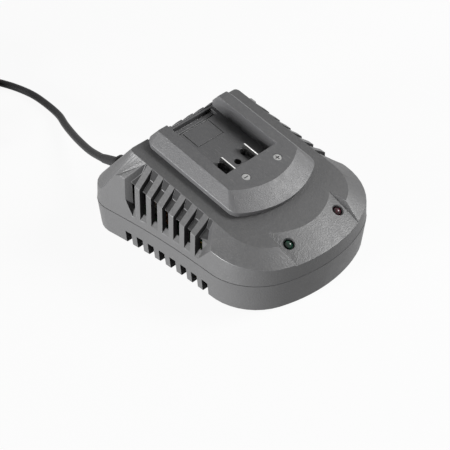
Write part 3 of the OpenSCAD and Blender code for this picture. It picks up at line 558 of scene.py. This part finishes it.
def marked(mat, cad, plus):
    """Fills the sunk mark: a point is on a bar where its distance from the disc's middle is under
    1.72 mm along the bar and under 0.36 mm across it, and the plus has a second bar across."""
    half_length, half_width = 0.00172, 0.00036
    tree, off, mark = mat.node_tree, off_middle(mat.node_tree, cad), 0.0
    x, y = (maths(tree, "ABSOLUTE", off[axis]) for axis in "XY")
    for along, across in ((x, y), (y, x))[:2 if plus else 1]:
        bar = maths(tree, "MULTIPLY", maths(tree, "LESS_THAN", along, half_length),
                    maths(tree, "LESS_THAN", across, half_width))
        mark = maths(tree, "MAXIMUM", mark, bar)
    return painted(mat, mark, (0.012, 0.012, 0.012))


for side in ("positive", "negative"):
    grey = moulded("button_grey_" + side, (0.36, 0.36, 0.355), 0.36, grain=2400.0, depth=0.000012)
    rounded_copy("disc_" + side, "polarity_disc_" + side,
                 [marked(grey, "disc_" + side, side == "positive")], edge=0.00008)

# ---------------------------------------------------------------------------
# Lamps
# Domed light guides of tinted acrylic, one green and one red, held in black
# sleeves under the lamp panel. Their skin is glassy, with moulding ripples.
# ---------------------------------------------------------------------------


def tinted_dome(name, deep, glow):
    """Tinted acrylic: a noise with patches of 2 mm mixes the colour from deep to glow and wavers
    the roughness, and a finer one makes soft ripples 0.6 mm apart."""
    mat, tree, body = blank_material(name)
    place = node(tree, "TexCoord").outputs["Object"]
    cloud = noise(tree, place, 500.0)
    ripple = noise(tree, place, 1600.0, detail=1.0)
    feed(body, [("Base Color", blend(tree, ramp(tree, cloud, 0.35, 0.7), (*deep, 1), (*glow, 1))),
                ("Normal", bumps(tree, 0.5, 0.00001, ripple)),
                ("Roughness", ramp(tree, cloud, 0.0, 1.0, 0.05, 0.12)),
                ("Specular IOR Level", 0.35)])
    return mat


for tint, deep, glow in (("green", (0.001, 0.008, 0.004), (0.004, 0.05, 0.026)),
                         ("red", (0.010, 0.001, 0.002), (0.07, 0.006, 0.014))):
    rounded_copy("lamp_" + tint, "light_guide_" + tint,
                 [tinted_dome(tint + "_acrylic", deep, glow)])
SLEEVE = moulded("sleeve_black", (0.012, 0.012, 0.012), 0.3, dust=0.0)
for tint in ("green", "red"):
    rounded_copy("lamp_sleeve_" + tint, "light_sleeve_" + tint,
                 [SLEEVE], edge=0.0001)

# ---------------------------------------------------------------------------
# Circuit board
# A single-sided board of green-lacquered glass fibre. Its copper areas show
# faintly through the lacquer, and tinned pads shine between them.
# ---------------------------------------------------------------------------


def lacquered_board():
    """Green lacquer over copper: bricks of 18 by 4 mm in two greens are the copper, and the gaps
    of 0.5 mm between them are darker and sunk. A round pad of tin, 1.4 mm wide, sits in each cell
    of a Voronoi pattern with cells 5 mm apart."""
    mat, tree, body = blank_material("green_lacquer")
    place = node(tree, "TexCoord").outputs["Object"]
    copper = node(tree, "TexBrick", [
        ("Vector", place), ("Scale", 60.0), ("Mortar Size", 0.03), ("Bias", -0.2),
        ("Brick Width", 1.1), ("Row Height", 0.24), ("Color1", (0.01, 0.11, 0.035, 1)),
        ("Color2", (0.015, 0.15, 0.05, 1)), ("Mortar", (0.006, 0.06, 0.02, 1))]).outputs
    dots = node(tree, "TexVoronoi", [("Vector", place), ("Scale", 190.0), ("Randomness", 0.35)])
    away = dots.outputs["Distance"]
    pads = ramp(tree, away, 0.16, 0.13)
    feed(body, [("Base Color", blend(tree, pads, copper["Color"], (0.55, 0.55, 0.53, 1))),
                ("Metallic", pads),
                ("Normal", bumps(tree, 0.7, 0.00004, copper["Fac"], invert=True)),
                ("Roughness", ramp(tree, away, 0.0, 1.0, 0.22, 0.34))])
    return mat


rounded_copy("circuit_board", "etched_board", [lacquered_board()], edge=0.0001)

# ---------------------------------------------------------------------------
# Transformer
# A pressed and fired ferrite core, brittle and matt, round a bobbin of copper
# wire that is wrapped in yellow polyester tape.
# ---------------------------------------------------------------------------
FERRITE = moulded("fired_ferrite", (0.045, 0.044, 0.046), 0.62, grain=900.0, depth=0.00008,
                  cloud=0.25)
rounded_copy("transformer_core", "ferrite_core", [FERRITE], edge=0.0004)


def wrapped_tape():
    """Yellow tape: level bands 1.5 mm high, each with a darker lap at its edge, over the faint
    ridges of the wire beneath, 0.4 mm apart."""
    mat = moulded("polyester_tape", (0.62, 0.42, 0.07), 0.24, grain=700.0, depth=0.00004,
                  cloud=0.12, dust=0.0)
    tree = mat.node_tree
    place = node(tree, "TexCoord").outputs["Object"]
    laps = node(tree, "TexWave", [("Vector", place), ("Scale", 210.0), ("Distortion", 0.6)],
                bands_direction="Z", wave_profile="SAW").outputs["Fac"]
    ridges = node(tree, "TexWave", [("Vector", place), ("Scale", 780.0), ("Distortion", 0.3)],
                  bands_direction="Z").outputs["Fac"]
    feed(tree.nodes["Principled BSDF"], [("Normal", bumps(tree, 0.8, 0.00006, ridges))])
    return painted(mat, ramp(tree, laps, 0.86, 1.0), (0.26, 0.15, 0.02))


rounded_copy("transformer_coil", "taped_winding", [wrapped_tape()], edge=0.0002)

# ---------------------------------------------------------------------------
# Capacitors
# Two aluminium cans in shrunk PVC sleeves, dark blue with a pale band down one
# side that marks the minus lead, and a yellow boxed film capacitor.
# ---------------------------------------------------------------------------


def shrunk_sleeve(name, cad):
    """Shrunk sleeve: dark blue, with a pale band where the point's direction from the can's axis
    lies within about 17 degrees of one side."""
    mat = moulded(name, (0.015, 0.024, 0.075), 0.25, grain=260.0, depth=0.00005, cloud=0.15,
                  dust=0.0)
    tree = mat.node_tree
    off = off_middle(tree, cad)
    turned = maths(tree, "ABSOLUTE", maths(tree, "ARCTAN2", off["Y"], off["X"]))
    return painted(mat, ramp(tree, turned, 2.82, 2.86), (0.5, 0.5, 0.48))


for can in ("bulk", "output"):
    rounded_copy(can + "_capacitor", can + "_can",
                 [shrunk_sleeve(can + "_sleeve", can + "_capacitor")])
rounded_copy("line_capacitor", "boxed_film_capacitor",
             [moulded("box_yellow", (0.66, 0.40, 0.03), 0.3, grain=1200.0, dust=0.0)],
             edge=0.0003)

# ---------------------------------------------------------------------------
# Heat sink and power parts
# An extruded aluminium sink with seven fins, and the black epoxy bodies of the
# transistor on its back and of the rectifier.
# ---------------------------------------------------------------------------
SINK = metal("extruded_aluminium", (0.62, 0.62, 0.64), 0.34, way=(1.0, 1.0, 0.01), tarnish=0.08)
rounded_copy("heat_sink", "extruded_sink", [SINK], edge=0.0002)
EPOXY = moulded("black_epoxy", (0.02, 0.02, 0.022), 0.5, grain=1100.0, depth=0.00003, dust=0.01)
rounded_copy("power_transistor", "epoxy_transistor", [EPOXY], edge=0.0002)
rounded_copy("rectifier", "epoxy_rectifier", [EPOXY], edge=0.0003)

# ---------------------------------------------------------------------------
# Choke, fuse and mains connector
# A ring core wound with lacquered copper wire, a ceramic fuse with pressed
# caps, and the nylon housing that the two mains wires push into.
# ---------------------------------------------------------------------------


def wound_copper():
    """Lacquered copper turns: bands counted by the angle round the ring's level axis, 46 to the
    ring, copper in the middle and dark painted shade between them."""
    mat, tree, body = blank_material("lacquered_copper")
    off = off_middle(tree, "line_choke")
    turns = maths(tree, "MULTIPLY", maths(tree, "ARCTAN2", off["Z"], off["Y"]), 46.0)
    # painted shade: the gaps between the turns are dark and not metallic
    wire = ramp(tree, maths(tree, "SINE", turns), -1.0, 0.4)
    feed(body, [("Base Color", blend(tree, wire, (0.05, 0.012, 0.004, 1), (0.62, 0.22, 0.07, 1))),
                ("Metallic", wire), ("Roughness", 0.24),
                ("Normal", bumps(tree, 1.0, 0.0003, wire))])
    return mat


rounded_copy("line_choke", "wound_choke", [wound_copper()])
CERAMIC = moulded("fired_ceramic", (0.72, 0.69, 0.6), 0.35, grain=500.0, cloud=0.1, dust=0.0)
rounded_copy("fuse", "ceramic_fuse", [CERAMIC], edge=0.0001)
NYLON = moulded("natural_nylon", (0.74, 0.71, 0.62), 0.42, grain=800.0, cloud=0.08, dust=0.0)
rounded_copy("mains_connector", "nylon_connector", [NYLON], edge=0.0003)

# ---------------------------------------------------------------------------
# Wires
# Stranded wires in PVC: red and black up to the blades, and the two brown
# mains wires from the strain relief down to the connector.
# ---------------------------------------------------------------------------
for cad, name, dye, colour, roughness, cloud in (
        ("wire_positive", "lead_up_positive", "red", (0.42, 0.012, 0.014), 0.32, 0.1),
        ("wire_negative", "lead_up_negative", "black", (0.012, 0.012, 0.013), 0.34, 0.05),
        ("mains_wires", "inner_mains_wires", "brown", (0.11, 0.04, 0.018), 0.34, 0.1)):
    sheath = moulded("wire_" + dye, colour, roughness, grain=900.0, cloud=cloud, dust=0.0)
    rounded_copy(cad, name, [sheath])

# ---------------------------------------------------------------------------
# Pads and screws
# Four soft rubber pads stuck under the corners, and four pan-head screws with
# cross recesses, sunk in the bosses from below.
# ---------------------------------------------------------------------------
CORNERS = ("front_left", "front_right", "rear_left", "rear_right")
RUBBER = moulded("pad_rubber", (0.018, 0.018, 0.018), 0.72, grain=1300.0, depth=0.00008,
                 cloud=0.2, dust=0.0)
for corner in CORNERS:
    rounded_copy("pad_" + corner, "stuck_pad_" + corner, [RUBBER])
STEEL = metal("zinc_steel", (0.55, 0.55, 0.56), 0.3, way=(1.0, 1.0, 1.0), tarnish=0.3)
for corner in CORNERS:
    rounded_copy("screw_" + corner, "case_screw_" + corner, [STEEL], edge=0.0001)

# ---------------------------------------------------------------------------
# Strain relief and plug
# Both are moulded in black PVC onto the lead: a collar and boot where it
# enters the case, and a flat two-pin plug with nickel-plated brass pins.
# ---------------------------------------------------------------------------
BOOT = moulded("boot_pvc", (0.012, 0.012, 0.0125), 0.5, grain=1500.0, depth=0.00006, dust=0.02,
               sheen=0.2)
rounded_copy("strain_relief", "moulded_strain_relief", [BOOT], edge=0.0003)
PLUG = moulded("plug_pvc", (0.016, 0.016, 0.017), 0.62, grain=1500.0, depth=0.00005, dust=0.03,
               sheen=0.2)
rounded_copy("plug_body", "moulded_plug", [PLUG], edge=0.0008)
NICKEL = metal("nickel_plate", (0.72, 0.69, 0.62), 0.16, way=(1.0, 0.02, 1.0))
for side in ("left", "right"):
    rounded_copy("plug_pin_" + side, "plated_pin_" + side, [NICKEL])

# ---------------------------------------------------------------------------
# Mains lead
# A round two-core lead with a black PVC sheath, drawn through a die, so it is
# smooth along its length. It falls from the strain relief to the table, and
# the length that isn't needed is wound into a coil.
# ---------------------------------------------------------------------------
LEAD = 0.0055
# places of the lead's middle, in millimetres
down_to_table = np.array([
    (-27.8, 99.6, 23.4), (-26.1, 106.3, 21.0), (-21.6, 122.0, 16.0), (-15.2, 140.2, 11.5),
    (-8.9, 156.3, 8.0), (-2.8, 171.2, 5.6), (3.3, 185.1, 4.0), (7.4, 203.0, 2.9),
    (8.8, 222.0, 2.8), (6.0, 241.0, 2.8), (0.5, 258.0, 2.8), (-4.0, 270.0, 2.8),
]) / 1000
up_to_plug = np.array([
    (-78.4, 272.0, 13.4), (-78.7, 264.0, 11.8), (-79.0, 256.0, 9.0), (-79.0, 250.0, 7.2),
    (-79.0, 244.0, 6.9),
]) / 1000


def wound(centre, outer, d):
    """The middle of a coil of eight and a half turns, which fill the nine cells of a square three
    turns wide and high, d apart. Turn k keeps to its own cell, given by its radius and height,
    until the angle start[k], and then moves to the next by t * t * (3 - 2t), where t runs from 0
    to 1 over an angle of 79 degrees. After each corner of the path from cell to cell the moves
    start 19.5 degrees sooner, so that no two meet, and the last half turn has none."""
    half_turns, steps = 17, 14
    cell = np.array([(0, 0), (1, 0), (2, 0), (2, 1), (2, 2), (1, 2), (1, 1), (0, 1), (0, 2)], float)
    radius, height = outer - cell[:, 0] * d, d / 2 + cell[:, 1] * d
    start = np.radians([279.0, 279.0, 259.5, 259.5, 240.0, 220.5, 201.0, 181.5, 360.0])
    angle = np.linspace(0, half_turns * np.pi, half_turns * steps + 1)
    last = len(cell) - 1
    turn = np.minimum(angle // (2 * np.pi), last).astype(int)
    t = np.clip((angle - turn * 2 * np.pi - start[turn]) / np.radians(79), 0, 1)
    s = t * t * (3 - 2 * t)
    after = np.minimum(turn + 1, last)
    r = radius[turn] * (1 - s) + radius[after] * s
    z = height[turn] * (1 - s) + height[after] * s
    return np.stack([centre[0] + r * np.cos(angle), centre[1] + r * np.sin(angle), z], -1)


def smooth_line(points, parts):
    """The Catmull-Rom curve through the points: each span is cut in equal parts, and a place on
    it is half of 2b + (c - a)t + (2a - 5b + 4c - d)t^2 + (3b - a - 3c + d)t^3 for its four
    nearest points a, b, c, d."""
    p = np.concatenate([points[:1], points, points[-1:]])
    a, b, c, d = (p[k:len(p) - 3 + k, None, :] for k in range(4))
    t = (np.arange(parts) / parts)[None, :, None]
    bent = (2 * a - 5 * b + 4 * c - d) * t ** 2 + (3 * b - a - 3 * c + d) * t ** 3
    line = 0.5 * (2 * b + (c - a) * t + bent)
    return np.concatenate([line.reshape(-1, 3), points[-1:]])


def even_line(line, step):
    """The same line with points an equal distance apart, by linear interpolation over its running
    length, and that length."""
    run = np.concatenate([[0], np.cumsum(np.linalg.norm(np.diff(line, axis=0), axis=1))])
    at = np.linspace(0, run[-1], int(round(run[-1] / step)) + 1)
    return np.stack([np.interp(at, run, line[:, k]) for k in range(3)], -1), run[-1]


def round_tube(line, radius, sides):
    """The points of a tube: line + radius * (level * cos a + up * sin a), with a running once
    round. Both unit vectors are square to the line: level is its direction crossed with the
    vertical, and up is level crossed with its direction."""
    way = np.gradient(line, axis=0)
    way /= np.linalg.norm(way, axis=1, keepdims=True)
    level = np.cross(way, [0.0, 0.0, 1.0])
    level /= np.linalg.norm(level, axis=1, keepdims=True)
    up = np.cross(level, way)
    a = -np.linspace(0, 2 * np.pi, sides, endpoint=False)[:, None]
    return line[:, None] + radius * (level[:, None] * np.cos(a) + up[:, None] * np.sin(a))


def grid_mesh(name, p):
    """A closed skin from an array p of points, indexed by u along and v around: each face joins
    the points (u, v), (u, v + 1), (u + 1, v + 1) and (u + 1, v), where v goes round, and one face
    closes each end. The map named along holds the running length along u and round v, in
    metres."""
    m, n = p.shape[:2]
    u, v = np.meshgrid(np.arange(m - 1), np.arange(n), indexing="ij")
    corners = ((u, v), (u, v + 1), (u + 1, v + 1), (u + 1, v))
    quads = np.stack([a * n + b % n for a, b in corners], -1).reshape(-1, 4)
    ends = [list(range(n))[::-1], [(m - 1) * n + k for k in range(n)]]
    mesh = bpy.data.meshes.new(name)
    mesh.from_pydata(p.reshape(-1, 3), [], quads.tolist() + ends)
    far_u = np.concatenate([[0], np.cumsum(np.linalg.norm(np.diff(p[:, 0], axis=0), axis=1))])
    ring = np.linalg.norm(np.diff(p, axis=1, append=p[:, :1]), axis=2).mean(0)
    far_v = np.concatenate([[0], np.cumsum(ring)])
    flat = np.stack([np.stack([far_u[a], far_v[b]], -1) for a, b in corners], 2)
    uv = np.zeros((len(mesh.loops), 2), np.float32)
    uv[:quads.size] = flat.reshape(-1, 2)
    mesh.uv_layers.new(name="along").data.foreach_set("uv", uv.reshape(-1))
    mesh.shade_smooth()
    piece = bpy.data.objects.new(name, mesh)
    bpy.context.collection.objects.link(piece)
    return piece


coil = wound((-0.042, 0.280), 0.03625, LEAD)
route = np.concatenate([down_to_table, coil, up_to_plug])
line, lead_length = even_line(smooth_line(route, parts=6), step=0.0018)
lead = grid_mesh("mains_lead", round_tube(line, LEAD / 2, sides=14))


def drawn_sheath():
    """PVC from the die: noise read along the map named along, drawn out fifty times lengthwise,
    makes the faint lines of the die, and a slow noise makes the sheath duller and dustier in
    places."""
    mat, tree, body = blank_material("black_pvc_sheath")
    place = node(tree, "UVMap", uv_map="along").outputs[0]
    drawn = node(tree, "Mapping", [("Vector", place), ("Scale", (40.0, 2000.0, 1.0))]).outputs[0]
    slow = noise(tree, place, 90.0, detail=4.0, roughness=0.65)
    dusty = ramp(tree, slow, 0.45, 0.75, 0.0, 0.03)
    feed(body, [("Base Color", blend(tree, dusty, (0.010, 0.010, 0.0105, 1), (0.3, 0.29, 0.28, 1))),
                ("Roughness", ramp(tree, slow, 0.0, 1.0, 0.3, 0.5)), ("Specular IOR Level", 0.14),
                ("Normal", bumps(tree, 0.5, 0.00003, noise(tree, drawn, 1.0)))])
    return mat


lead.data.materials.append(drawn_sheath())

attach(lead, HOUSE)
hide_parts("cord_tube", "cord_coil", "cord_tail")
